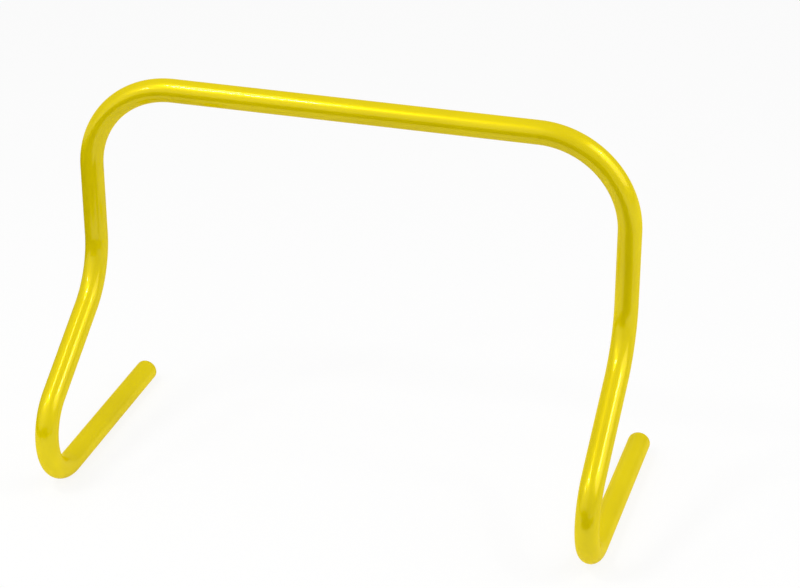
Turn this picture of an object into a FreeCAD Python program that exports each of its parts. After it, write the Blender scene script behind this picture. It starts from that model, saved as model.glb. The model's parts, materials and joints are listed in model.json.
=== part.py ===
import FreeCAD, Part
import math
import os
import Sketcher
from FreeCAD import Vector

# Speed hurdle: one plastic tube bent into a gate with raked legs and long feet, with a plug in each end.
# World frame: X along the crossbar, Y from the toe bends to the free ends of the feet, Z up.
# The origin is on the ground, under the middle of the whole hurdle.

# Driving dimensions in millimetres, the lean in degrees
SIZES = {
    "tube_diameter": 19.0,
    "tube_wall": 1.8,
    "leg_span": 448.0,
    "corner_radius": 74.0,
    "upper_leg": 61.0,
    "knee_radius": 64.0,
    "shin_lean": 57.0,
    "shin_length": 86.0,
    "toe_radius": 40.0,
    "foot_length": 165.5,
    "head_rim": 1.0,
    "head_edge_radius": 2.5,
    "head_dome": 1.0,
    "stem_diameter": 10.0,
    "stem_wall": 1.6,
    "stem_neck": 2.4,
    "stem_nose": 2.6,
    "nose_chamfer": 0.8,
    "fin_count": 4,
    "fin_pitch": 3.2,
    "fin_root": 1.5,
    "fin_tip": 0.6,
    "fin_clearance": 0.05,
}

HEAD_HEIGHT = "(Sizes.head_rim + Sizes.head_edge_radius + Sizes.head_dome)"
STEM_LENGTH = "(Sizes.stem_neck + (Sizes.fin_count - 1) * Sizes.fin_pitch + Sizes.fin_root + Sizes.stem_nose)"

# A sketch numbers its axes from -1 down, and the points of a line or an arc from 1 up
X_AXIS, Y_AXIS = range(-1, -3, -1)
START, END, CENTRE = range(1, 4)
ORIGIN = (X_AXIS, START)


def add_sheet(document):
    """Spreadsheet with one aliased cell for each driving dimension."""
    sheet = document.addObject("Spreadsheet::Sheet", "Sizes")
    for row, (name, value) in enumerate(SIZES.items(), start=1):
        sheet.set(f"A{row}", name)
        sheet.set(f"B{row}", str(value))
        sheet.setAlias(f"B{row}", name)
    document.recompute()
    return sheet


def add_body(document, label):
    body = document.addObject("PartDesign::Body", label)
    body.Label = label
    return body


def origin_plane(body, role):
    return next(item for item in body.Origin.OriginFeatures if item.Role == role)


def add_sketch(body, plane_role, name):
    """Sketch on one of the body's own origin planes."""
    sketch = body.newObject("Sketcher::SketchObject", name)
    sketch.AttachmentSupport = [(origin_plane(body, plane_role), "")]
    sketch.MapMode = "FlatFace"
    return sketch


def dimension(sketch, name, formula, kind, *where):
    """Named sketch dimension that follows a formula over the sheet."""
    number = sketch.addConstraint(Sketcher.Constraint(kind, *where))
    sketch.renameConstraint(number, name)
    sketch.setExpression(f"Constraints.{name}", formula)


def relate(sketch, *rules):
    """Geometric constraints, each a kind followed by what it joins."""
    for kind, *where in rules:
        sketch.addConstraint(Sketcher.Constraint(kind, *where))


def line(start, end):
    return Part.LineSegment(start, end)


def circle(centre, radius):
    return Part.Circle(centre, Vector(0, 0, 1), radius)


def arc(centre, radius, from_degrees, to_degrees):
    return Part.ArcOfCircle(circle(centre, radius), math.radians(from_degrees), math.radians(to_degrees))


def around(centre, radius, degrees):
    """Point on a circle."""
    angle = math.radians(degrees)
    return centre + Vector(radius * math.cos(angle), radius * math.sin(angle), 0)


def tube_section(body):
    """Ring of the tube's wall where the right upper leg meets its knee bend."""
    sketch = add_sketch(body, "XY_Plane", "tube_section")
    centre = Vector(SIZES["leg_span"] / 2, 0, 0)
    outside = SIZES["tube_diameter"]
    bore = outside - 2 * SIZES["tube_wall"]
    outer = sketch.addGeometry(circle(centre, outside / 2))
    inner = sketch.addGeometry(circle(centre, bore / 2))
    relate(
        sketch,
        ("PointOnObject", outer, CENTRE, X_AXIS),
        ("Coincident", inner, CENTRE, outer, CENTRE),
    )
    dimension(sketch, "half_span", "Sizes.leg_span / 2", "DistanceX", *ORIGIN, outer, CENTRE, centre.x)
    dimension(sketch, "outside", "Sizes.tube_diameter", "Diameter", outer, outside)
    dimension(sketch, "bore", "Sizes.tube_diameter - 2 * Sizes.tube_wall", "Diameter", inner, bore)
    return sketch


def upper_frame_path(body):
    """Centre line of the upright gate: right leg, corner, crossbar, corner, left leg."""
    sketch = add_sketch(body, "XZ_Plane", "upper_frame_path")
    side = SIZES["leg_span"] / 2
    radius = SIZES["corner_radius"]
    leg = SIZES["upper_leg"]
    corner = Vector(side - radius, leg, 0)
    mirrored_corner = Vector(-corner.x, leg, 0)
    right_leg = sketch.addGeometry(line(Vector(side, 0, 0), Vector(side, leg, 0)))
    right_bend = sketch.addGeometry(arc(corner, radius, 0, 90))
    bar = sketch.addGeometry(line(around(corner, radius, 90), around(mirrored_corner, radius, 90)))
    left_bend = sketch.addGeometry(arc(mirrored_corner, radius, 90, 180))
    left_leg = sketch.addGeometry(line(Vector(-side, leg, 0), Vector(-side, 0, 0)))
    relate(
        sketch,
        ("Tangent", right_leg, END, right_bend, START),
        ("Tangent", right_bend, END, bar, START),
        ("Tangent", bar, END, left_bend, START),
        ("Tangent", left_bend, END, left_leg, START),
        ("Vertical", right_leg),
        ("Vertical", left_leg),
        ("Horizontal", bar),
        ("Equal", right_bend, left_bend),
        ("PointOnObject", right_leg, START, X_AXIS),
        ("Symmetric", right_leg, START, left_leg, END, Y_AXIS),
    )
    dimension(sketch, "span", "Sizes.leg_span", "DistanceX", left_leg, END, right_leg, START, 2 * side)
    dimension(sketch, "leg", "Sizes.upper_leg", "DistanceY", right_leg, START, right_leg, END, leg)
    dimension(sketch, "corner", "Sizes.corner_radius", "Radius", right_bend, radius)
    return sketch


def lower_leg_path(body):
    """Centre line of the right lower leg: knee bend, shin, toe bend, foot."""
    sketch = add_sketch(body, "YZ_Plane", "lower_leg_path")
    sketch.setExpression("AttachmentOffset.Base.z", "Sizes.leg_span / 2")
    lean = SIZES["shin_lean"]
    knee_radius = SIZES["knee_radius"]
    toe_radius = SIZES["toe_radius"]
    knee_centre = Vector(-knee_radius, 0, 0)
    knee_end = around(knee_centre, knee_radius, -lean)
    shin_end = around(knee_end, SIZES["shin_length"], -90 - lean)
    toe_centre = around(shin_end, toe_radius, -lean)
    toe_end = around(toe_centre, toe_radius, 270)
    knee = sketch.addGeometry(arc(knee_centre, knee_radius, -lean, 0))
    shin = sketch.addGeometry(line(knee_end, shin_end))
    toe = sketch.addGeometry(arc(toe_centre, toe_radius, 180 - lean, 270))
    foot = sketch.addGeometry(line(toe_end, toe_end + Vector(SIZES["foot_length"], 0, 0)))
    relate(
        sketch,
        ("Coincident", knee, END, *ORIGIN),
        ("PointOnObject", knee, CENTRE, X_AXIS),
        ("Tangent", knee, START, shin, START),
        ("Tangent", shin, END, toe, START),
        ("Tangent", toe, END, foot, START),
        ("Horizontal", foot),
    )
    dimension(sketch, "knee_bend", "Sizes.knee_radius", "Radius", knee, knee_radius)
    dimension(sketch, "lean", "Sizes.shin_lean * 1 deg", "Angle", knee, math.radians(lean))
    dimension(sketch, "shin", "Sizes.shin_length", "Distance", shin, SIZES["shin_length"])
    dimension(sketch, "toe_bend", "Sizes.toe_radius", "Radius", toe, toe_radius)
    dimension(sketch, "foot", "Sizes.foot_length", "Distance", foot, SIZES["foot_length"])
    return sketch


def add_pipe(body, name, section, path):
    """Tube of the given section along every edge of a path sketch."""
    pipe = body.newObject("PartDesign::AdditivePipe", name)
    pipe.Profile = section
    pipe.Spine = (path, [f"Edge{number}" for number in range(1, path.GeometryCount + 1)])
    return pipe


def bent_tube(document):
    """The whole hurdle tube: one open bore from foot to foot."""
    body = add_body(document, "bent_tube")
    section = tube_section(body)
    add_pipe(body, "upper_frame", section, upper_frame_path(body))
    right_leg = add_pipe(body, "right_lower_leg", section, lower_leg_path(body))
    legs = body.newObject("PartDesign::Mirrored", "left_lower_leg")
    legs.Originals = [right_leg]
    legs.MirrorPlane = (origin_plane(body, "YZ_Plane"), [""])
    body.Tip = legs
    # The body's own origin is level with the tops of the knee bends, in the plane of the crossbar
    body.setExpression(
        "Placement.Base.y",
        f"(Sizes.toe_radius + Sizes.tube_diameter / 2 - Sizes.foot_length - {HEAD_HEIGHT}) / 2"
        " + Sizes.knee_radius * (1 - cos(Sizes.shin_lean)) + Sizes.shin_length * sin(Sizes.shin_lean)"
        " - Sizes.toe_radius * cos(Sizes.shin_lean)",
    )
    body.setExpression(
        "Placement.Base.z",
        "Sizes.tube_diameter / 2 + Sizes.toe_radius * (1 + sin(Sizes.shin_lean))"
        " + Sizes.shin_length * cos(Sizes.shin_lean) + Sizes.knee_radius * sin(Sizes.shin_lean)",
    )
    return body


def plug_profile(body):
    """Half section of a plug without its fins: domed head above the seat, hollow stem below it."""
    sketch = add_sketch(body, "XY_Plane", "plug_profile")
    rim_radius = SIZES["tube_diameter"] / 2
    rim = SIZES["head_rim"]
    edge = SIZES["head_edge_radius"]
    rise = SIZES["head_dome"]
    stem = SIZES["stem_diameter"] / 2
    bore = stem - SIZES["stem_wall"]
    chamfer = SIZES["nose_chamfer"]
    fins = (SIZES["fin_count"] - 1) * SIZES["fin_pitch"] + SIZES["fin_root"]
    length = SIZES["stem_neck"] + fins + SIZES["stem_nose"]
    # The dome touches the rounded edge: both circles have one tangent where they meet
    flat = rim_radius - edge
    dome_radius = edge + (flat ** 2 + rise ** 2) / (2 * rise)
    dome_centre = Vector(0, rim + edge + rise - dome_radius, 0)
    edge_centre = Vector(flat, rim, 0)
    meeting = math.degrees(math.atan2(rim - dome_centre.y, flat))
    dome = sketch.addGeometry(arc(dome_centre, dome_radius, meeting, 90))
    rounding = sketch.addGeometry(arc(edge_centre, edge, 0, meeting))
    corners = [
        Vector(rim_radius, rim, 0),
        Vector(rim_radius, 0, 0),
        Vector(stem, 0, 0),
        Vector(stem, chamfer - length, 0),
        Vector(stem - chamfer, -length, 0),
        Vector(bore, -length, 0),
        Vector(bore, 0, 0),
        Vector(0, 0, 0),
        around(dome_centre, dome_radius, 90),
    ]
    sides = [sketch.addGeometry(line(*ends)) for ends in zip(corners, corners[1:])]
    side_wall, seat, neck, lead_in, nose, bore_wall, bore_end, axis = sides
    for before, after in zip(sides, sides[1:]):
        relate(sketch, ("Coincident", before, END, after, START))
    relate(
        sketch,
        ("Tangent", dome, START, rounding, END),
        ("Tangent", rounding, START, side_wall, START),
        ("Coincident", axis, END, dome, END),
        ("PointOnObject", dome, CENTRE, Y_AXIS),
        ("Coincident", bore_end, END, *ORIGIN),
        ("Vertical", side_wall),
        ("Vertical", neck),
        ("Vertical", bore_wall),
        ("Vertical", axis),
        ("Horizontal", nose),
        ("Horizontal", bore_end),
        ("PointOnObject", seat, START, X_AXIS),
        ("PointOnObject", seat, END, X_AXIS),
    )
    dimension(sketch, "rim_radius", "Sizes.tube_diameter / 2", "DistanceX", *ORIGIN, seat, START, rim_radius)
    dimension(sketch, "rim", "Sizes.head_rim", "DistanceY", side_wall, END, side_wall, START, rim)
    dimension(sketch, "edge", "Sizes.head_edge_radius", "Radius", rounding, edge)
    dimension(sketch, "head", HEAD_HEIGHT, "DistanceY", *ORIGIN, axis, END, rim + edge + rise)
    dimension(sketch, "stem", "Sizes.stem_diameter / 2", "DistanceX", *ORIGIN, seat, END, stem)
    dimension(
        sketch, "stem_bore", "Sizes.stem_diameter / 2 - Sizes.stem_wall",
        "DistanceX", *ORIGIN, bore_wall, END, bore,
    )
    dimension(sketch, "stem_length", STEM_LENGTH, "DistanceY", nose, END, *ORIGIN, length)
    dimension(
        sketch, "chamfer_depth", "Sizes.nose_chamfer",
        "DistanceY", lead_in, END, lead_in, START, chamfer,
    )
    dimension(
        sketch, "chamfer_width", "Sizes.nose_chamfer",
        "DistanceX", lead_in, END, lead_in, START, chamfer,
    )
    return sketch


def fin_profile(body):
    """Half section of the fin next to the head: square to the stem on that side, raked on the other."""
    sketch = add_sketch(body, "XY_Plane", "fin_profile")
    # The fin starts half way into the stem's wall, so that it grows out of it
    root = (SIZES["stem_diameter"] - SIZES["stem_wall"]) / 2
    tip = SIZES["tube_diameter"] / 2 - SIZES["tube_wall"] - SIZES["fin_clearance"]
    top = -SIZES["stem_neck"]
    corners = [
        Vector(root, top, 0),
        Vector(tip, top, 0),
        Vector(tip, top - SIZES["fin_tip"], 0),
        Vector(root, top - SIZES["fin_root"], 0),
    ]
    sides = [sketch.addGeometry(line(*ends)) for ends in zip(corners, corners[1:] + corners[:1])]
    head_side, rim, _, root_side = sides
    for before, after in zip(sides, sides[1:] + sides[:1]):
        relate(sketch, ("Coincident", before, END, after, START))
    relate(sketch, ("Horizontal", head_side), ("Vertical", rim), ("Vertical", root_side))
    dimension(sketch, "neck", "Sizes.stem_neck", "DistanceY", head_side, START, *ORIGIN, -top)
    dimension(
        sketch, "root_radius", "(Sizes.stem_diameter - Sizes.stem_wall) / 2",
        "DistanceX", *ORIGIN, head_side, START, root,
    )
    dimension(
        sketch, "tip_radius", "Sizes.tube_diameter / 2 - Sizes.tube_wall - Sizes.fin_clearance",
        "DistanceX", *ORIGIN, head_side, END, tip,
    )
    dimension(sketch, "fin_tip", "Sizes.fin_tip", "DistanceY", rim, END, rim, START, SIZES["fin_tip"])
    dimension(
        sketch, "fin_root", "Sizes.fin_root",
        "DistanceY", root_side, START, root_side, END, SIZES["fin_root"],
    )
    return sketch


def add_revolution(body, name, profile):
    """Full turn of a half section about the plug's axis."""
    turned = body.newObject("PartDesign::Revolution", name)
    turned.Profile = profile
    turned.ReferenceAxis = (profile, ["V_Axis"])
    turned.Angle = 360
    return turned


def end_plug(document, label, side):
    """Push-in plug: its head seats on the tube's cut end and its fins lie in the bore."""
    body = add_body(document, label)
    add_revolution(body, "head_and_stem", plug_profile(body))
    profile = fin_profile(body)
    fin = add_revolution(body, "fin", profile)
    document.recompute()
    fins = body.newObject("PartDesign::LinearPattern", "fins")
    fins.Originals = [fin]
    fins.Direction = (profile, ["V_Axis"])
    fins.Reversed = True
    fins.setExpression("Length", "(Sizes.fin_count - 1) * Sizes.fin_pitch")
    fins.setExpression("Occurrences", "Sizes.fin_count")
    body.Tip = fins
    body.setExpression("Placement.Base.x", f"{side} * Sizes.leg_span / 2")
    body.setExpression(
        "Placement.Base.y",
        f"(Sizes.toe_radius + Sizes.tube_diameter / 2 + Sizes.foot_length - {HEAD_HEIGHT}) / 2",
    )
    body.setExpression("Placement.Base.z", "Sizes.tube_diameter / 2")
    return body


def write_parts(document, bodies):
    """Stops at a broken feature, then writes one file for each sub-part."""
    for item in document.Objects:
        if "Invalid" in item.State or "Error" in item.State:
            raise RuntimeError(f"{item.Label} is in state {item.State}")
    os.makedirs("parts", exist_ok=True)
    for body in bodies:
        if body.Shape.isNull() or not body.Shape.isValid():
            raise RuntimeError(f"{body.Label} has no valid shape")
        body.Shape.exportStep(f"parts/{body.Label}.step")


def main():
    document = FreeCAD.newDocument("speed_hurdle")
    add_sheet(document)
    bodies = [
        bent_tube(document),
        end_plug(document, "left_end_plug", -1),
        end_plug(document, "right_end_plug", 1),
    ]
    document.recompute()
    write_parts(document, bodies)


main()
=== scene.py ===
import json
import math
from typing import NamedTuple

import bmesh
import bpy
from bpy.props import FloatProperty, FloatVectorProperty, IntProperty, PointerProperty
from mathutils import Euler, Matrix, Vector


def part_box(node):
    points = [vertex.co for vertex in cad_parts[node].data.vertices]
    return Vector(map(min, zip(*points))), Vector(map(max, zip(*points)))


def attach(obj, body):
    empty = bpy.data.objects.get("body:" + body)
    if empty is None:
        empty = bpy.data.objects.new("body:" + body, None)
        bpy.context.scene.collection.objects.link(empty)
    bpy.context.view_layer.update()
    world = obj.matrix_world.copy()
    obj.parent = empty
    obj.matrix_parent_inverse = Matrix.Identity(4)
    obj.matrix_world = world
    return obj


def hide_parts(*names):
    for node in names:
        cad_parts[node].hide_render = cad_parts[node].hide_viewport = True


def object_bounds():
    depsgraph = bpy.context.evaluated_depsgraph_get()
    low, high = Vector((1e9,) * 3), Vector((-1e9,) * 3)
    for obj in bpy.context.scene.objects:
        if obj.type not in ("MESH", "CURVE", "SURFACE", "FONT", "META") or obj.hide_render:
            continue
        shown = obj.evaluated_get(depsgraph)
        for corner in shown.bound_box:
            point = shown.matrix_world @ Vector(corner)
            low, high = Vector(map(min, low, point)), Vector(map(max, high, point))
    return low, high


bl_info = {
    "name": "Speed Hurdle",
    "version": (1, 0, 0),
    "blender": (4, 5, 0),
    "location": "View3D > Sidebar > Hurdle",
    "description": "Bends a speed hurdle's yellow tube, plugs its ends and sets it in a small studio",
    "category": "Object",
}

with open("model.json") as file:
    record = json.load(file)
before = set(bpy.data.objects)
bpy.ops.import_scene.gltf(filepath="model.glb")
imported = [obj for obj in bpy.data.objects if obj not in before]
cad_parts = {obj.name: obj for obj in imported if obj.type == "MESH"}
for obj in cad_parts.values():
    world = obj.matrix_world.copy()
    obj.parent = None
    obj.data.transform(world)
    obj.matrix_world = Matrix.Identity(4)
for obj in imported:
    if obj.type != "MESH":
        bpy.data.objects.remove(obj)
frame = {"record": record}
CAD_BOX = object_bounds()
MILLIMETRE = 0.001
MOUNTS = {mount["name"]: mount for mount in frame["record"]["mounts"]}
FOOT = MOUNTS["right_foot"]
FOOT_RADIUS = FOOT["dims"]["r_mm"] * MILLIMETRE
FOOT_LENGTH = FOOT["dims"]["length_mm"] * MILLIMETRE
FOOT_END = FOOT["pos_m"][1] + FOOT_LENGTH / 2
HALF_SPAN = FOOT["pos_m"][0]
FIT_TOLERANCE = 0.2 * MILLIMETRE


class HurdleTubeSizes(bpy.types.PropertyGroup):
    """Sizes of the bent tube."""

    outside: FloatProperty(
        name="Outside diameter", description="Outside diameter of the pipe",
        default=2 * FOOT_RADIUS, precision=4, unit="LENGTH",
    )
    wall: FloatProperty(
        name="Wall", description="Thickness of the pipe's wall",
        default=0.0018, precision=4, unit="LENGTH",
    )
    leg_span: FloatProperty(
        name="Leg span", description="Distance between the two legs' centre lines",
        default=2 * HALF_SPAN, precision=4, unit="LENGTH",
    )
    corner_radius: FloatProperty(
        name="Corner radius", description="Bend from the crossbar into each leg, on the centre line",
        default=0.074, precision=4, unit="LENGTH",
    )
    upper_leg: FloatProperty(
        name="Upper leg", description="Straight upright run between corner and knee bend",
        default=0.061, precision=4, unit="LENGTH",
    )
    knee_radius: FloatProperty(
        name="Knee radius", description="Bend from the upright leg into the raked shin",
        default=0.064, precision=4, unit="LENGTH",
    )
    shin_lean: FloatProperty(
        name="Shin lean", description="Angle of the shin from upright",
        default=math.radians(57), subtype="ANGLE",
    )
    shin_length: FloatProperty(
        name="Shin", description="Straight run between knee bend and toe bend",
        default=0.086, precision=4, unit="LENGTH",
    )
    toe_radius: FloatProperty(
        name="Toe radius", description="Bend from the shin back into the foot",
        default=0.040, precision=4, unit="LENGTH",
    )
    foot_length: FloatProperty(
        name="Foot", description="Straight run from toe bend to cut end",
        default=FOOT_LENGTH, precision=4, unit="LENGTH",
    )
    lip: FloatProperty(
        name="Lip", description="Rounding of the cut end's outer edge",
        default=0.00035, precision=5, unit="LENGTH",
    )
    sides: IntProperty(
        name="Sides", description="Facets round the tube", default=64, min=12,
    )
    ring_spacing: FloatProperty(
        name="Ring spacing", description="Distance between rings of facets along the tube",
        default=0.0025, precision=4, unit="LENGTH",
    )


class HurdlePlugSizes(bpy.types.PropertyGroup):
    """Sizes of the push-in plug in each foot."""

    head_rim: FloatProperty(
        name="Head rim", description="Straight side of the head above its seat",
        default=0.0010, precision=5, unit="LENGTH",
    )
    edge_radius: FloatProperty(
        name="Edge radius", description="Rounded edge between the head's side and its dome",
        default=0.0025, precision=5, unit="LENGTH",
    )
    dome_rise: FloatProperty(
        name="Dome rise", description="Height of the dome above the rounded edge",
        default=0.0010, precision=5, unit="LENGTH",
    )
    seat_rounding: FloatProperty(
        name="Seat rounding", description="Rounding of the head's edge at the tube's cut end",
        default=0.00025, precision=5, unit="LENGTH",
    )
    gate_radius: FloatProperty(
        name="Gate radius", description="Radius of the sunk mark that moulding leaves in the dome",
        default=0.0013, precision=5, unit="LENGTH",
    )
    gate_depth: FloatProperty(
        name="Gate depth", description="Depth of the moulding mark",
        default=0.00025, precision=5, unit="LENGTH",
    )
    stem_diameter: FloatProperty(
        name="Stem diameter", description="Outside of the hollow stem",
        default=0.010, precision=4, unit="LENGTH",
    )
    stem_wall: FloatProperty(
        name="Stem wall", description="Thickness of the stem's wall",
        default=0.0016, precision=4, unit="LENGTH",
    )
    stem_neck: FloatProperty(
        name="Stem neck", description="Bare stem between the seat and the first fin",
        default=0.0024, precision=4, unit="LENGTH",
    )
    stem_nose: FloatProperty(
        name="Stem nose", description="Bare stem beyond the last fin",
        default=0.0026, precision=4, unit="LENGTH",
    )
    nose_chamfer: FloatProperty(
        name="Nose chamfer", description="Lead-in at the stem's tip",
        default=0.0008, precision=5, unit="LENGTH",
    )
    fin_count: IntProperty(
        name="Fins", description="Number of gripping fins round the stem", default=4, min=1,
    )
    fin_pitch: FloatProperty(
        name="Fin pitch", description="Distance from fin to fin",
        default=0.0032, precision=4, unit="LENGTH",
    )
    fin_root: FloatProperty(
        name="Fin root", description="Thickness of a fin at the stem",
        default=0.0015, precision=4, unit="LENGTH",
    )
    fin_tip: FloatProperty(
        name="Fin tip", description="Thickness of a fin at its rim",
        default=0.0006, precision=5, unit="LENGTH",
    )
    fin_clearance: FloatProperty(
        name="Fin clearance", description="Gap between a fin and the tube's bore",
        default=0.00005, precision=5, unit="LENGTH",
    )
    steps: IntProperty(
        name="Steps", description="Facets round a plug", default=72, min=12,
    )


class HurdleFinish(bpy.types.PropertyGroup):
    """Colours and gloss of the plastics."""

    tube_colour: FloatVectorProperty(
        name="Tube colour", description="Yellow of the pipe",
        subtype="COLOR", size=3, min=0, max=1, default=(0.84, 0.675, 0.0),
    )
    tube_shade: FloatVectorProperty(
        name="Tube shade", description="Deeper yellow of the pipe's faint mottling",
        subtype="COLOR", size=3, min=0, max=1, default=(0.79, 0.63, 0.0),
    )
    plug_colour: FloatVectorProperty(
        name="Plug colour", description="Yellow of the moulded plugs",
        subtype="COLOR", size=3, min=0, max=1, default=(0.82, 0.655, 0.0),
    )
    plug_shade: FloatVectorProperty(
        name="Plug shade", description="Deeper yellow of the plugs' faint clouds",
        subtype="COLOR", size=3, min=0, max=1, default=(0.76, 0.605, 0.0),
    )
    grime: FloatVectorProperty(
        name="Grime", description="Dirt rubbed into the undersides of the feet",
        subtype="COLOR", size=3, min=0, max=1, default=(0.20, 0.16, 0.04),
    )
    sheen_tint: FloatVectorProperty(
        name="Reflection tint", description="Tint of what the plastic reflects face on",
        subtype="COLOR", size=3, min=0, max=1, default=(1.0, 0.85, 0.1),
    )
    tube_gloss: FloatProperty(
        name="Tube roughness", description="Roughness of the clean pipe",
        subtype="FACTOR", min=0, max=1, default=0.29,
    )
    plug_gloss: FloatProperty(
        name="Plug roughness", description="Roughness of the moulded plugs",
        subtype="FACTOR", min=0, max=1, default=0.34,
    )


class HurdleStage(bpy.types.PropertyGroup):
    """Camera, floor and light."""

    camera_place: FloatVectorProperty(
        name="Camera place", description="Where the camera stands",
        subtype="TRANSLATION", size=3, default=(0.5255, -1.6003, 1.0059), unit="LENGTH",
    )
    camera_turn: FloatProperty(
        name="Camera turn", description="Turn of the view to the left of straight ahead",
        default=math.radians(16.713), subtype="ANGLE",
    )
    camera_tilt: FloatProperty(
        name="Camera tilt", description="How far the camera looks down",
        default=math.radians(26.445), subtype="ANGLE",
    )
    lens: FloatProperty(
        name="Lens", description="Focal length in millimetres on a 36 mm wide sensor", default=105.59,
    )
    floor_size: FloatProperty(
        name="Floor size", description="Side of the square floor", default=24.0, unit="LENGTH",
    )
    floor_colour: FloatVectorProperty(
        name="Floor colour", description="Pale studio floor",
        subtype="COLOR", size=3, min=0, max=1, default=(0.95, 0.95, 0.95),
    )
    floor_glow: FloatProperty(
        name="Floor glow", description="Share of plain white that the eye sees in the floor",
        subtype="FACTOR", min=0, max=1, default=0.85,
    )
    flag_colour: FloatVectorProperty(
        name="Flag colour", description="Dark cards in front and at the left that the plastic mirrors",
        subtype="COLOR", size=3, min=0, max=1, default=(0.06, 0.06, 0.06),
    )
    ambient: FloatProperty(
        name="Ambient", description="Strength of the even light from all round", default=0.545, min=0,
    )
    lamp_level: FloatProperty(
        name="Lamp level", description="Strength of all the lamps together", default=1.0, min=0,
    )


class HurdleSettings(bpy.types.PropertyGroup):
    """All that a user would change."""

    tube: PointerProperty(type=HurdleTubeSizes)
    plug: PointerProperty(type=HurdlePlugSizes)
    finish: PointerProperty(type=HurdleFinish)
    stage: PointerProperty(type=HurdleStage)


# Node helpers


def add_node(tree, kind, inputs=None, **settings):
    """New node with its settings, each input given a value or a link from another node."""
    made = tree.nodes.new(kind)
    for name, value in settings.items():
        setattr(made, name, value)
    for socket, value in (inputs or {}).items():
        if isinstance(value, bpy.types.NodeSocket):
            tree.links.new(value, made.inputs[socket])
        else:
            made.inputs[socket].default_value = value
    return made


def arithmetic(tree, operation, first, second):
    """Result of a sum, a product or the like of two values."""
    return add_node(tree, "ShaderNodeMath", {0: first, 1: second}, operation=operation).outputs[0]


def remap(tree, value, span, to_low=0.0, to_high=1.0):
    """Smooth step of a value from one span to another, clamped."""
    low, high = span
    ranged = add_node(
        tree, "ShaderNodeMapRange", {"Value": value, 1: low, 2: high, 3: to_low, 4: to_high},
        interpolation_type="SMOOTHSTEP",
    )
    return ranged.outputs[0]


def mix_colour(tree, factor, first, second):
    """First colour at a factor of 0, second at 1."""
    mixed = add_node(tree, "ShaderNodeMix", {0: factor, 6: first, 7: second}, data_type="RGBA")
    return mixed.outputs[2]


class Grain(NamedTuple):
    """Noise in a surface: features to the metre, fineness, and share of the scale on each axis."""

    scale: float
    detail: float
    axis_share: tuple = (1, 1, 1)


def noise(tree, place, grain):
    """Noise of a given grain, about 0.5 on average."""
    placed = add_node(tree, "ShaderNodeMapping", {"Vector": place, "Scale": grain.axis_share})
    made = add_node(
        tree, "ShaderNodeTexNoise",
        {"Vector": placed.outputs[0], "Scale": grain.scale, "Detail": grain.detail},
    )
    return made.outputs[0]


def bump(tree, height, depth, below=None):
    """Relief of a given depth in metres, laid over another relief."""
    inputs = {"Height": height, "Distance": depth, "Strength": 1.0}
    if below is not None:
        inputs["Normal"] = below
    return add_node(tree, "ShaderNodeBump", inputs).outputs[0]


def opaque(colour):
    """Colour with full alpha."""
    return (*colour, 1)


def new_material(name):
    """Material with an empty node tree."""
    material = bpy.data.materials.new(name)
    material.use_nodes = True
    material.node_tree.nodes.clear()
    return material


def surface_output(tree, shader):
    """Ends a material's tree in a shader."""
    add_node(tree, "ShaderNodeOutputMaterial", {"Surface": shader})


def keep_at_points(tree, geometry, name, value, kind):
    """Geometry with a value kept at its points under a name."""
    kept = add_node(
        tree, "GeometryNodeStoreNamedAttribute",
        {"Geometry": geometry, "Name": name, "Value": value}, data_type=kind, domain="POINT",
    )
    return kept.outputs[0]


def kept_value(tree, name, kind):
    """Value that was kept under a name."""
    found = add_node(tree, "GeometryNodeInputNamedAttribute", {"Name": name}, data_type=kind)
    return found.outputs[0]


# The tube

BEND_STEPS_PER_SIDE = 3
LIP_SEGMENTS = 3
ROUND_PROFILE = 0.5


def tube_corners(sizes):
    """Corners of the centre line from the right cut end to the left, each with its bend radius."""
    toe_reach = sizes.toe_radius * math.tan((math.pi / 2 + sizes.shin_lean) / 2)
    knee_reach = sizes.knee_radius * math.tan(sizes.shin_lean / 2)
    shin = toe_reach + sizes.shin_length + knee_reach
    upright = knee_reach + sizes.upper_leg + sizes.corner_radius
    foot_end = Vector((sizes.leg_span / 2, FOOT_END, sizes.outside / 2))
    toe = foot_end - Vector((0, sizes.foot_length + toe_reach, 0))
    knee = toe + shin * Vector((0, math.sin(sizes.shin_lean), math.cos(sizes.shin_lean)))
    corner = knee + Vector((0, 0, upright))
    right = [
        (foot_end, 0),
        (toe, sizes.toe_radius),
        (knee, sizes.knee_radius),
        (corner, sizes.corner_radius),
    ]
    left = [(Vector((-place.x, place.y, place.z)), radius) for place, radius in reversed(right)]
    return right + left


def centre_line(sizes):
    """Curve object through the corners, with the bend radii in its points' radius."""
    corners = tube_corners(sizes)
    curve = bpy.data.curves.new("hurdle_centre_line", "CURVE")
    curve.dimensions = "3D"
    spline = curve.splines.new("POLY")
    spline.points.add(len(corners) - 1)
    for point, (place, radius) in zip(spline.points, corners):
        point.co = (*place, 1)
        point.radius = radius
    line = bpy.data.objects.new("hurdle_centre_line", curve)
    bpy.context.scene.collection.objects.link(line)
    return line


def swept_wall(tree, path, radius, sides):
    """Wall of a pipe along a path. Each point keeps its place in the round section."""
    ring = add_node(
        tree, "GeometryNodeCurvePrimitiveCircle", {"Resolution": sides, "Radius": radius},
        mode="RADIUS",
    ).outputs[0]
    spoke = add_node(tree, "GeometryNodeInputPosition").outputs[0]
    section = keep_at_points(tree, ring, "around", spoke, "FLOAT_VECTOR")
    swept = add_node(
        tree, "GeometryNodeCurveToMesh", {"Curve": path, "Profile Curve": section, "Scale": 1.0},
    )
    return swept.outputs[0]


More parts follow.
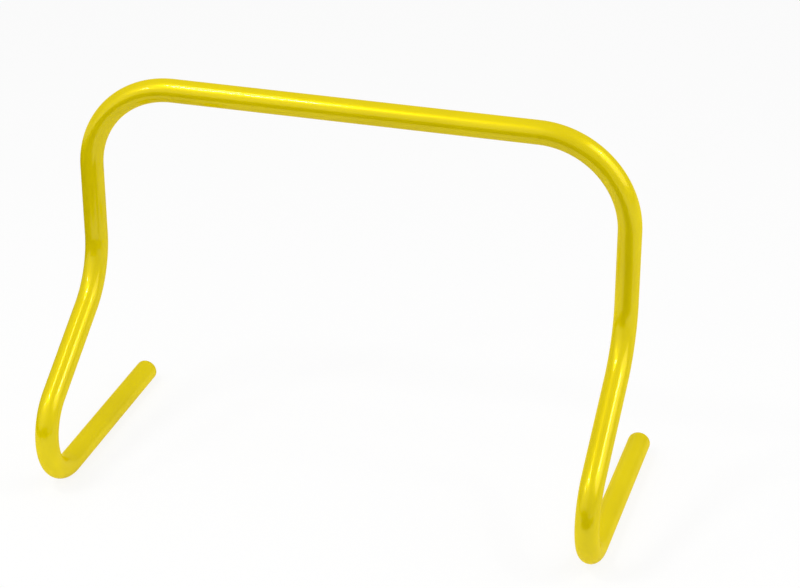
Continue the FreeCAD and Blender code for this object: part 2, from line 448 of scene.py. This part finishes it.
def straightened_place(tree):
    """Place that a point would have on the pipe before it was bent, with the pipe along Z."""
    around = kept_value(tree, "around", "FLOAT_VECTOR")
    along = kept_value(tree, "along", "FLOAT")
    upwards = add_node(tree, "ShaderNodeCombineXYZ", {"Z": along}).outputs[0]
    added = add_node(tree, "ShaderNodeVectorMath", {0: around, 1: upwards}, operation="ADD")
    return added.outputs[0]


def sweep_tree():
    """Node tree that bends a centre line at its corners and sweeps both walls of the pipe."""
    tree = bpy.data.node_groups.new("bend_and_sweep_pipe", "GeometryNodeTree")
    tree.is_modifier = True
    sockets = {
        "Centre Line": "NodeSocketGeometry",
        "Outside Radius": "NodeSocketFloat",
        "Bore Radius": "NodeSocketFloat",
        "Sides": "NodeSocketInt",
        "Bend Steps": "NodeSocketInt",
        "Ring Spacing": "NodeSocketFloat",
        "Material": "NodeSocketMaterial",
    }
    for name, kind in sockets.items():
        tree.interface.new_socket(name, in_out="INPUT", socket_type=kind)
    tree.interface.new_socket("Pipe", in_out="OUTPUT", socket_type="NodeSocketGeometry")
    given = add_node(tree, "NodeGroupInput").outputs
    bend_radius = add_node(tree, "GeometryNodeInputRadius").outputs[0]
    bent = add_node(
        tree, "GeometryNodeFilletCurve",
        {"Curve": given["Centre Line"], "Count": given["Bend Steps"], "Radius": bend_radius},
        mode="POLY",
    ).outputs[0]
    ringed = add_node(
        tree, "GeometryNodeResampleCurve", {"Curve": bent, "Length": given["Ring Spacing"]},
        mode="LENGTH",
    ).outputs[0]
    length = add_node(tree, "GeometryNodeSplineParameter").outputs["Length"]
    path = keep_at_points(tree, ringed, "along", length, "FLOAT")
    outer = swept_wall(tree, path, given["Outside Radius"], given["Sides"])
    inner = swept_wall(tree, path, given["Bore Radius"], given["Sides"])
    bore = add_node(tree, "GeometryNodeFlipFaces", {"Mesh": inner}).outputs[0]
    both = add_node(tree, "GeometryNodeJoinGeometry")
    for wall in (bore, outer):
        tree.links.new(wall, both.inputs[0])
    place = straightened_place(tree)
    mapped = keep_at_points(tree, both.outputs[0], "straightened", place, "FLOAT_VECTOR")
    for name in ("around", "along"):
        cleared = add_node(tree, "GeometryNodeRemoveAttribute", {"Geometry": mapped, "Name": name})
        mapped = cleared.outputs[0]
    smooth = add_node(tree, "GeometryNodeSetShadeSmooth", {"Geometry": mapped}).outputs[0]
    real = add_node(tree, "GeometryNodeRealizeInstances", {"Geometry": smooth}).outputs[0]
    finished = add_node(
        tree, "GeometryNodeSetMaterial", {"Geometry": real, "Material": given["Material"]},
    ).outputs[0]
    add_node(tree, "NodeGroupOutput", {"Pipe": finished})
    return tree


def swept_mesh(line, tree, values):
    """Plain mesh of what a node tree makes of a curve. The curve object is used up."""
    modifier = line.modifiers.new(tree.name, "NODES")
    modifier.node_group = tree
    for item in tree.interface.items_tree:
        if item.item_type == "SOCKET" and item.in_out == "INPUT" and item.name in values:
            modifier[item.identifier] = values[item.name]
    graph = bpy.context.evaluated_depsgraph_get()
    mesh = bpy.data.meshes.new_from_object(
        line.evaluated_get(graph), preserve_all_data_layers=True, depsgraph=graph,
    )
    bpy.data.objects.remove(line)
    return mesh


def close_cut_ends(mesh, sizes, material):
    """Joins both walls at each cut end, rounds the outer edge there and sets one material."""
    shape = bmesh.new()
    shape.from_mesh(mesh)
    mid_wall = (sizes.outside - sizes.wall) / 2
    rims = []
    for side in (-1, 1):
        axis = Vector((side * sizes.leg_span / 2, FOOT_END, sizes.outside / 2))
        edges = [
            edge for edge in shape.edges
            if edge.is_boundary and all((vert.co - axis).length < sizes.outside for vert in edge.verts)
        ]
        rims += [
            edge for edge in edges
            if all((vert.co - axis).length > mid_wall for vert in edge.verts)
        ]
        bmesh.ops.bridge_loops(shape, edges=edges)
    bmesh.ops.bevel(
        shape, geom=rims, offset=sizes.lip, offset_type="OFFSET", segments=LIP_SEGMENTS,
        profile=ROUND_PROFILE, affect="EDGES",
    )
    for face in shape.faces:
        face.smooth = True
        face.material_index = 0
    shape.to_mesh(mesh)
    shape.free()
    mesh.materials.clear()
    mesh.materials.append(material)


def check_closed(mesh, name):
    """Raises an error unless the mesh is one closed skin with its faces outwards."""
    shape = bmesh.new()
    shape.from_mesh(mesh)
    open_edges = [edge for edge in shape.edges if not edge.is_manifold]
    volume = shape.calc_volume(signed=True)
    shape.free()
    if open_edges or volume <= 0:
        raise RuntimeError(f"{name} has {len(open_edges)} open edges and a volume of {volume}")


def check_fit(piece, node):
    """Raises an error unless a piece fills the same box as the node that it stands for."""
    corners = [Vector(corner) for corner in piece.bound_box]
    low = Vector(map(min, *corners))
    high = Vector(map(max, *corners))
    for made, wanted in zip((low, high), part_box(node)):
        if (made - wanted).length > FIT_TOLERANCE:
            reached = f"{piece.name} reaches {tuple(made)}"
            raise RuntimeError(f"{reached} where {node} reaches {tuple(wanted)}")


def finish_piece(name, mesh, node):
    """Object of a finished mesh that rides on the part and stands for a node."""
    check_closed(mesh, name)
    piece = bpy.data.objects.new(name, mesh)
    bpy.context.scene.collection.objects.link(piece)
    check_fit(piece, node)
    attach(piece, "root")
    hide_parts(node)
    return piece


# The plastics

# Share of the light that the bright pigment throws back in its own colour
PIGMENT_GLINT = 0.25
# A thin dense coat gives the highlights pale cores and keeps the edges clear
COAT_WEIGHT = 0.10
COAT_IOR = 2.5
COAT_ROUGHNESS = 0.07

CLOUD_SPAN = (0.3, 0.7)

PIPE_CLOUD = Grain(38.0, 3.0, (1, 1, 0.5))
PIPE_ROUGHNESS_SPREAD = 0.05
DRAW_LINES = Grain(1400.0, 2.0, (1, 1, 0.012))
DRAW_LINE_SPAN = (0.55, 0.8)
DRAW_LINE_SHARE = 0.35
DRAW_LINE_DEPTH = 0.010 * MILLIMETRE
ORANGE_PEEL = Grain(620.0, 1.0)
ORANGE_PEEL_DEPTH = 0.03 * MILLIMETRE
PIPE_GRAIN = Grain(2600.0, 2.0)
PIPE_GRAIN_DEPTH = 0.004 * MILLIMETRE

# Rubbing starts at the first height above the ground and is full at the second
RUBBED_HEIGHTS = (3.2 * MILLIMETRE, 0.4 * MILLIMETRE)
RUBBED_ROUGHNESS = 0.3
RUBBED_PATCHES = Grain(150.0, 4.0)
RUBBED_PATCH_SPAN = (0.35, 0.65)
SCRATCHES = Grain(1500.0, 1.0, (1, 0.06, 0.5))
SCRATCH_SPAN = (0.52, 0.66)
SCRATCH_DEPTH = 0.05 * MILLIMETRE
GRIME_SHARE = 0.7

PLUG_CLOUD = Grain(260.0, 3.0)
PLUG_ROUGHNESS_SPREAD = 0.06
PLUG_GRAIN = Grain(5200.0, 2.0)
PLUG_GRAIN_DEPTH = 0.012 * MILLIMETRE


def plastic(tree, colour, roughness, normal, tint):
    """Glossy pigmented plastic."""
    return add_node(
        tree, "ShaderNodeBsdfPrincipled",
        {
            "Base Color": colour,
            "Roughness": roughness,
            "Normal": normal,
            "Metallic": PIGMENT_GLINT,
            "Specular IOR Level": 0.0,
            "Specular Tint": opaque(tint),
            "Coat Weight": COAT_WEIGHT,
            "Coat IOR": COAT_IOR,
            "Coat Roughness": COAT_ROUGHNESS,
        },
    ).outputs[0]


def pipe_material(finish):
    """Extruded pipe: faint mottling, draw lines and orange peel, rubbed and dirty underneath."""
    material = new_material("yellow_pipe")
    tree = material.node_tree
    attribute = add_node(tree, "ShaderNodeAttribute", attribute_name="straightened")
    straightened = attribute.outputs["Vector"]
    place = add_node(tree, "ShaderNodeTexCoord").outputs["Object"]
    height = add_node(tree, "ShaderNodeSeparateXYZ", {0: place}).outputs["Z"]
    cloud = noise(tree, straightened, PIPE_CLOUD)
    draw_lines = noise(tree, straightened, DRAW_LINES)
    peel = noise(tree, straightened, ORANGE_PEEL)
    grain = noise(tree, straightened, PIPE_GRAIN)
    low_down = remap(tree, height, RUBBED_HEIGHTS)
    patchy = remap(tree, noise(tree, straightened, RUBBED_PATCHES), RUBBED_PATCH_SPAN)
    rubbed = arithmetic(tree, "MULTIPLY", low_down, patchy)
    scratches = remap(tree, noise(tree, straightened, SCRATCHES), SCRATCH_SPAN)
    scratched = arithmetic(tree, "MULTIPLY", rubbed, scratches)
    clean = opaque(finish.tube_colour)
    shade = opaque(finish.tube_shade)
    mottled = mix_colour(tree, remap(tree, cloud, CLOUD_SPAN), clean, shade)
    line_share = remap(tree, draw_lines, DRAW_LINE_SPAN, 0.0, DRAW_LINE_SHARE)
    lined = mix_colour(tree, line_share, mottled, shade)
    grime_share = arithmetic(tree, "MULTIPLY", scratched, GRIME_SHARE)
    dirty = mix_colour(tree, grime_share, lined, opaque(finish.grime))
    dullest = finish.tube_gloss + PIPE_ROUGHNESS_SPREAD
    clean_gloss = remap(tree, cloud, CLOUD_SPAN, finish.tube_gloss, dullest)
    dulled = arithmetic(tree, "MULTIPLY", rubbed, RUBBED_ROUGHNESS)
    roughness = arithmetic(tree, "ADD", clean_gloss, dulled)
    unscratched = arithmetic(tree, "SUBTRACT", 1.0, scratched)
    relief = bump(tree, peel, ORANGE_PEEL_DEPTH)
    relief = bump(tree, draw_lines, DRAW_LINE_DEPTH, relief)
    relief = bump(tree, grain, PIPE_GRAIN_DEPTH, relief)
    relief = bump(tree, unscratched, SCRATCH_DEPTH, relief)
    surface_output(tree, plastic(tree, dirty, roughness, relief, finish.sheen_tint))
    return material


def plug_material(finish):
    """Moulded plug: satin skin with a fine even grain."""
    material = new_material("yellow_moulding")
    tree = material.node_tree
    place = add_node(tree, "ShaderNodeTexCoord").outputs["Object"]
    cloud = noise(tree, place, PLUG_CLOUD)
    grain = noise(tree, place, PLUG_GRAIN)
    clean = opaque(finish.plug_colour)
    shade = opaque(finish.plug_shade)
    colour = mix_colour(tree, remap(tree, cloud, CLOUD_SPAN), clean, shade)
    dullest = finish.plug_gloss + PLUG_ROUGHNESS_SPREAD
    roughness = remap(tree, cloud, CLOUD_SPAN, finish.plug_gloss, dullest)
    relief = bump(tree, grain, PLUG_GRAIN_DEPTH)
    surface_output(tree, plastic(tree, colour, roughness, relief, finish.sheen_tint))
    return material


class HURDLE_OT_bend_tube(bpy.types.Operator):
    """Sweep the pipe along the hurdle's centre line and close its cut ends"""

    bl_idname = "hurdle.bend_tube"
    bl_label = "Bend the Tube"
    bl_options = {"REGISTER", "UNDO"}

    def execute(self, context):
        settings = context.scene.hurdle
        sizes = settings.tube
        material = pipe_material(settings.finish)
        values = {
            "Outside Radius": sizes.outside / 2,
            "Bore Radius": sizes.outside / 2 - sizes.wall,
            "Sides": sizes.sides,
            "Bend Steps": BEND_STEPS_PER_SIDE * sizes.sides,
            "Ring Spacing": sizes.ring_spacing,
            "Material": material,
        }
        mesh = swept_mesh(centre_line(sizes), sweep_tree(), values)
        mesh.name = "hurdle_tube"
        close_cut_ends(mesh, sizes, material)
        finish_piece("hurdle_tube", mesh, "bent_tube")
        return {"FINISHED"}


# The plugs

HEAD_ARC_STEPS = 12
SEAT_ARC_STEPS = 4
NIB_SHARE = 0.3
MERGE_DISTANCE = 0.001 * MILLIMETRE
SHARP_ANGLE = math.radians(50)


def arc_points(centre, radius, from_angle, to_angle, steps):
    """Points of an arc in the plane of a plug's half section, both ends included."""
    across, up = centre
    angles = [from_angle + (to_angle - from_angle) * step / steps for step in range(steps + 1)]
    return [(across + radius * math.cos(angle), up + radius * math.sin(angle)) for angle in angles]


def gate_mark(plug, top):
    """Half section of the moulding mark from the plug's axis outwards: a nib in a sunk ring."""
    radius = plug.gate_radius
    floor = top - plug.gate_depth
    nib = radius * NIB_SHARE
    soft = plug.gate_depth / 2
    return [
        (0, floor + soft),
        (nib, floor + soft),
        (nib + soft, floor),
        (radius - plug.gate_depth, floor),
        (radius - soft, floor + soft / 2),
    ]


def head_outline(plug, rim_radius):
    """Half section of a plug's head from the middle of its dome to its seat."""
    edge = plug.edge_radius
    flat = rim_radius - edge
    head = plug.head_rim + edge + plug.dome_rise
    # The dome and the rounded edge share one tangent where they meet
    dome_radius = edge + (flat ** 2 + plug.dome_rise ** 2) / (2 * plug.dome_rise)
    dome_level = head - dome_radius
    meeting = math.atan2(plug.head_rim - dome_level, flat)
    mark_edge = math.acos(plug.gate_radius / dome_radius)
    rounding = plug.seat_rounding
    seat_centre = (rim_radius - rounding, rounding)
    outline = gate_mark(plug, head)
    outline += arc_points((0, dome_level), dome_radius, mark_edge, meeting, HEAD_ARC_STEPS)
    outline += arc_points((flat, plug.head_rim), edge, meeting, 0, HEAD_ARC_STEPS)[1:]
    outline += arc_points(seat_centre, rounding, 0, -math.pi / 2, SEAT_ARC_STEPS)
    return outline


def stem_outline(plug, bore_radius):
    """Half section of a plug's stem from the seat over the fins to the middle of its hollow."""
    stem = plug.stem_diameter / 2
    hollow = stem - plug.stem_wall
    tip = bore_radius - plug.fin_clearance
    outline = [(stem, 0)]
    level = -plug.stem_neck
    for _ in range(plug.fin_count):
        outline += [
            (stem, level),
            (tip, level),
            (tip, level - plug.fin_tip),
            (stem, level - plug.fin_root),
        ]
        level -= plug.fin_pitch
    nose = level + plug.fin_pitch - plug.fin_root - plug.stem_nose
    outline += [
        (stem, nose + plug.nose_chamfer),
        (stem - plug.nose_chamfer, nose),
        (hollow, nose),
        (hollow, 0),
        (0, 0),
    ]
    return outline


def turned_mesh(name, outline, steps):
    """Closed mesh of a half section turned about its axis, the axis along Y."""
    shape = bmesh.new()
    verts = [shape.verts.new((radius, level, 0)) for radius, level in outline]
    edges = [shape.edges.new(pair) for pair in zip(verts, verts[1:])]
    bmesh.ops.spin(
        shape, geom=verts + edges, cent=(0, 0, 0), axis=(0, 1, 0), angle=2 * math.pi,
        steps=steps, use_merge=True,
    )
    bmesh.ops.remove_doubles(shape, verts=shape.verts, dist=MERGE_DISTANCE)
    bmesh.ops.recalc_face_normals(shape, faces=shape.faces)
    for face in shape.faces:
        face.smooth = True
    for edge in shape.edges:
        edge.smooth = edge.calc_face_angle(0.0) < SHARP_ANGLE
    mesh = bpy.data.meshes.new(name)
    shape.to_mesh(mesh)
    shape.free()
    return mesh


class HURDLE_OT_seat_plugs(bpy.types.Operator):
    """Turn the two end plugs and seat them on the tube's cut ends"""

    bl_idname = "hurdle.seat_plugs"
    bl_label = "Seat the Plugs"
    bl_options = {"REGISTER", "UNDO"}

    def execute(self, context):
        settings = context.scene.hurdle
        tube = settings.tube
        plug = settings.plug
        rim_radius = tube.outside / 2
        outline = head_outline(plug, rim_radius) + stem_outline(plug, rim_radius - tube.wall)
        material = plug_material(settings.finish)
        for word, side in (("left", -1), ("right", 1)):
            mesh = turned_mesh(f"{word}_foot_plug", outline, plug.steps)
            seat = Vector((side * tube.leg_span / 2, FOOT_END, tube.outside / 2))
            mesh.transform(Matrix.Translation(seat))
            mesh.materials.append(material)
            finish_piece(f"{word}_foot_plug", mesh, f"{word}_end_plug")
        return {"FINISHED"}


# The stage

SENSOR_WIDTH = 36.0
CARD_LEVEL = 1.0 * MILLIMETRE
FLOOR_SPECKLE = Grain(90.0, 3.0)
FLOOR_SPECKLE_DEPTH = 0.1 * MILLIMETRE


class Softbox(NamedTuple):
    """Area lamp that looks at the hurdle's middle, in degrees, metres and watts.

    Azimuth 0 is the side towards which -Y points.
    """

    name: str
    azimuth: float
    elevation: float
    distance: float
    width: float
    height: float
    power: float


# The small heads give the highlights their cores, the large boxes give the broad light
SOFTBOXES = (
    Softbox("left_lamp_head", -42.0, 57.5, 1.75, 0.35, 0.12, 6.8),
    Softbox("left_top_head", -64.0, 66.0, 1.65, 0.20, 0.14, 0.9),
    Softbox("left_side_head", -51.0, 35.0, 1.6, 0.13, 0.13, 1.5),
    Softbox("left_scrim", -40.0, 29.0, 1.9, 2.3, 2.4, 7.2),
    Softbox("right_softbox", 85.0, 36.0, 1.8, 1.4, 1.3, 8.7),
    Softbox("right_lamp_head", 89.0, 46.0, 1.7, 0.20, 0.12, 1.9),
    Softbox("rear_strip", 180.0, 14.0, 1.8, 2.0, 0.5, 0.6),
)


class Flag(NamedTuple):
    """Dark card along X that keeps light off, given by two opposite corners.

    Its dark side is up, or towards +Y where the card stands.
    """

    name: str
    first: tuple
    last: tuple


FLAGS = (
    Flag("front_left_floor_flag", (-1.6, -1.80, CARD_LEVEL), (-0.40, -0.22, CARD_LEVEL)),
    Flag("front_middle_floor_flag", (-0.40, -1.80, CARD_LEVEL), (0.08, -0.42, CARD_LEVEL)),
    Flag("front_right_floor_flag", (0.08, -1.80, CARD_LEVEL), (0.58, -0.22, CARD_LEVEL)),
    Flag("left_floor_flag", (-1.5, -0.22, CARD_LEVEL), (-0.43, 0.55, CARD_LEVEL)),
    Flag("front_flag", (-1.6, -1.80, 0.35), (0.58, -1.80, CARD_LEVEL)),
)


def hurdle_middle():
    """Middle of the hurdle's box."""
    low, high = CAD_BOX
    return (low + high) / 2


def direction(azimuth, elevation):
    """Unit vector from the hurdle towards a lamp."""
    turn = math.radians(azimuth)
    rise = math.radians(elevation)
    level = math.cos(rise)
    return Vector((math.sin(turn) * level, -math.cos(turn) * level, math.sin(rise)))


def sheet(name, corners):
    """Stage piece of four corners."""
    mesh = bpy.data.meshes.new(name)
    mesh.from_pydata(corners, [], [(0, 1, 2, 3)])
    made = bpy.data.objects.new(name, mesh)
    bpy.context.scene.collection.objects.link(made)
    return made


def lay_floor(stage):
    """Square floor under the hurdle."""
    reach = stage.floor_size / 2
    corners = [(-reach, -reach, 0), (reach, -reach, 0), (reach, reach, 0), (-reach, reach, 0)]
    floor = sheet("floor", corners)
    floor.data.materials.append(floor_material(stage))


def set_flag(flag, dark):
    """Dark card that the camera doesn't see and that throws no shadow."""
    left, near, start = flag.first
    right, far, stop = flag.last
    corners = [(left, near, start), (right, near, start), (right, far, stop), (left, far, stop)]
    card = sheet(flag.name, corners)
    card.data.materials.append(dark)
    card.visible_camera = False
    card.visible_transmission = False
    card.visible_shadow = False
    # A standing card shows in reflections alone, so that the floor round it stays evenly lit
    card.visible_diffuse = start == stop


def seen_directly(tree):
    """1 for rays that show the stage, straight or in a reflection, 0 for rays that light things."""
    rays = add_node(tree, "ShaderNodeLightPath").outputs
    seen = arithmetic(tree, "MAXIMUM", rays["Is Camera Ray"], rays["Is Glossy Ray"])
    return arithmetic(tree, "MAXIMUM", seen, rays["Is Transmission Ray"])


def floor_material(stage):
    """Pale floor that shows as white and keeps a soft shadow."""
    material = new_material("pale_floor")
    tree = material.node_tree
    place = add_node(tree, "ShaderNodeTexCoord").outputs["Object"]
    relief = bump(tree, noise(tree, place, FLOOR_SPECKLE), FLOOR_SPECKLE_DEPTH)
    matt = add_node(
        tree, "ShaderNodeBsdfDiffuse", {"Color": opaque(stage.floor_colour), "Normal": relief},
    ).outputs[0]
    white = add_node(tree, "ShaderNodeEmission", {"Strength": 1.0}).outputs[0]
    share = arithmetic(tree, "MULTIPLY", seen_directly(tree), stage.floor_glow)
    mixed = add_node(tree, "ShaderNodeMixShader", {0: share, 1: matt, 2: white})
    surface_output(tree, mixed.outputs[0])
    return material


def flag_material(stage):
    """Dark card on its front, clear on its back so that the floor below it stays lit."""
    material = new_material("dark_card")
    tree = material.node_tree
    dark = opaque(stage.flag_colour)
    matt = add_node(tree, "ShaderNodeBsdfDiffuse", {"Color": dark}).outputs[0]
    clear = add_node(tree, "ShaderNodeBsdfTransparent").outputs[0]
    behind = add_node(tree, "ShaderNodeNewGeometry").outputs["Backfacing"]
    mixed = add_node(tree, "ShaderNodeMixShader", {0: behind, 1: matt, 2: clear})
    surface_output(tree, mixed.outputs[0])
    return material


def light_world(stage):
    """Even white light from all round."""
    world = bpy.data.worlds.new("studio")
    world.use_nodes = True
    tree = world.node_tree
    tree.nodes.clear()
    white = opaque((1, 1, 1))
    fill = add_node(tree, "ShaderNodeBackground", {"Color": white, "Strength": stage.ambient})
    add_node(tree, "ShaderNodeOutputWorld", {"Surface": fill.outputs[0]})
    bpy.context.scene.world = world


def hang_softbox(box, level):
    """Lamp that lights the hurdle and shows in it, but not to the camera."""
    lamp = bpy.data.lights.new(box.name, "AREA")
    lamp.shape = "RECTANGLE"
    lamp.size = box.width
    lamp.size_y = box.height
    lamp.energy = box.power * level
    hung = bpy.data.objects.new(box.name, lamp)
    towards = direction(box.azimuth, box.elevation)
    hung.location = hurdle_middle() + box.distance * towards
    hung.rotation_euler = towards.to_track_quat("Z", "Y").to_euler()
    hung.visible_camera = False
    bpy.context.scene.collection.objects.link(hung)


def place_camera(stage):
    """Camera at the photograph's viewing angle."""
    camera = bpy.data.cameras.new("photo_view")
    camera.sensor_width = SENSOR_WIDTH
    camera.lens = stage.lens
    stand = bpy.data.objects.new("photo_view", camera)
    stand.location = stage.camera_place
    stand.rotation_euler = Euler((math.pi / 2 - stage.camera_tilt, 0, stage.camera_turn))
    bpy.context.scene.collection.objects.link(stand)
    bpy.context.scene.camera = stand


class HURDLE_OT_set_stage(bpy.types.Operator):
    """Lay the floor, hang the lamps and place the camera"""

    bl_idname = "hurdle.set_stage"
    bl_label = "Set the Stage"
    bl_options = {"REGISTER", "UNDO"}

    def execute(self, context):
        stage = context.scene.hurdle.stage
        lay_floor(stage)
        dark = flag_material(stage)
        for flag in FLAGS:
            set_flag(flag, dark)
        for box in SOFTBOXES:
            hang_softbox(box, stage.lamp_level)
        light_world(stage)
        place_camera(stage)
        context.scene.view_settings.view_transform = "Standard"
        return {"FINISHED"}


# The add-on


class HURDLE_PT_builder(bpy.types.Panel):
    """Steps and sizes of the hurdle"""

    bl_idname = "HURDLE_PT_builder"
    bl_label = "Speed Hurdle"
    bl_space_type = "VIEW_3D"
    bl_region_type = "UI"
    bl_category = "Hurdle"

    def draw(self, context):
        settings = context.scene.hurdle
        for step in STEPS:
            self.layout.operator(step.bl_idname)
        for group in (settings.tube, settings.plug, settings.finish, settings.stage):
            box = self.layout.box()
            for name in group.__annotations__:
                box.prop(group, name)


STEPS = (HURDLE_OT_bend_tube, HURDLE_OT_seat_plugs, HURDLE_OT_set_stage)
CLASSES = (
    HurdleTubeSizes,
    HurdlePlugSizes,
    HurdleFinish,
    HurdleStage,
    HurdleSettings,
    *STEPS,
    HURDLE_PT_builder,
)


def register():
    """Makes the classes and the hurdle's settings known."""
    for kind in CLASSES:
        bpy.utils.register_class(kind)
    bpy.types.Scene.hurdle = PointerProperty(type=HurdleSettings)


def unregister():
    """Takes the settings and the classes away again."""
    del bpy.types.Scene.hurdle
    for kind in reversed(CLASSES):
        bpy.utils.unregister_class(kind)


def main():
    """Builds the hurdle and its stage."""
    register()
    bpy.ops.hurdle.bend_tube()
    bpy.ops.hurdle.seat_plugs()
    bpy.ops.hurdle.set_stage()


if __name__ == "__main__":
    main()
